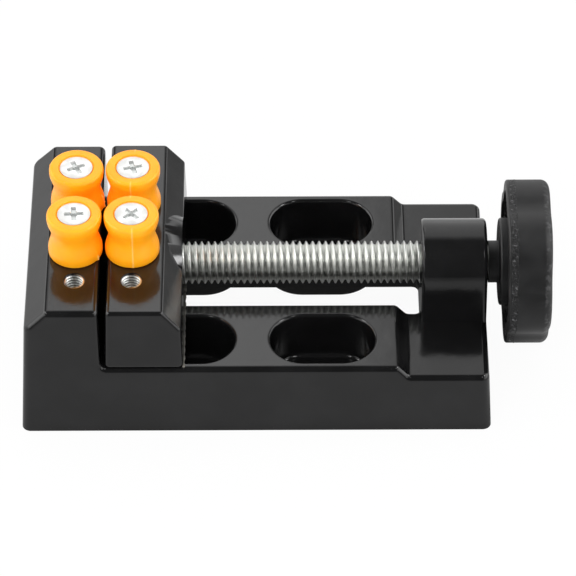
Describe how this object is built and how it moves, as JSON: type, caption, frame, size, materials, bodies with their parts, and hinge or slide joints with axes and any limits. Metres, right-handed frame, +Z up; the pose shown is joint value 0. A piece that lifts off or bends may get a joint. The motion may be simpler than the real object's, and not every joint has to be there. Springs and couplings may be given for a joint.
{
  "type": "mini bench vise",
  "caption": "Small cast bench vise with hollow slotted rails, a sliding jaw, a threaded lead screw with lobed handwheel and waisted plastic pegs on the jaws.",
  "frame": {"origin": "on the ground, under the middle of the whole vise's box at rest", "axes": "+X along the lead screw from the fixed jaw to the handwheel, +Y from the front rail to the back rail, +Z up"},
  "size_m": [0.1208, 0.0608, 0.0468],
  "materials": {
    "black_paint": "glossy black paint over die casting",
    "zinc_steel": "bright zinc plate",
    "ground_steel": "ground",
    "handwheel_plastic": "satin moulded plastic",
    "peg_plastic": "orange-yellow moulded plastic"
  },
  "bodies": {
    "base": {"base_casting": "black_paint", "peg_fixed_front": "peg_plastic", "peg_fixed_back": "peg_plastic", "peg_screw_fixed_front": "zinc_steel", "peg_screw_fixed_back": "zinc_steel"},
    "jaw": {"moving_jaw": "black_paint", "screw_retaining_pin": "ground_steel", "guide_plate": "zinc_steel", "guide_plate_screw_left": "zinc_steel", "guide_plate_screw_right": "zinc_steel", "guide_plate_washer_left": "zinc_steel", "guide_plate_washer_right": "zinc_steel", "peg_moving_front": "peg_plastic", "peg_moving_back": "peg_plastic", "peg_screw_moving_front": "zinc_steel", "peg_screw_moving_back": "zinc_steel"},
    "screw": {"lead_screw": "zinc_steel", "handwheel": "handwheel_plastic"}
  },
  "joints": [
    {"name": "jaw_slide", "type": "slide", "parent": "base", "child": "jaw", "axis": [1, 0, 0], "range_m": [-0.0002, 0.05325]},
    {"name": "screw_turn", "type": "hinge", "parent": "jaw", "child": "screw", "pos_m": [0, 0, 0.02413], "axis": [1, 0, 0], "range_deg": [-48, 12780]}
  ],
  "couplings": [
    {"joint": "screw_turn", "follows": "jaw_slide", "rad_per_m": 4188.8}
  ]
}
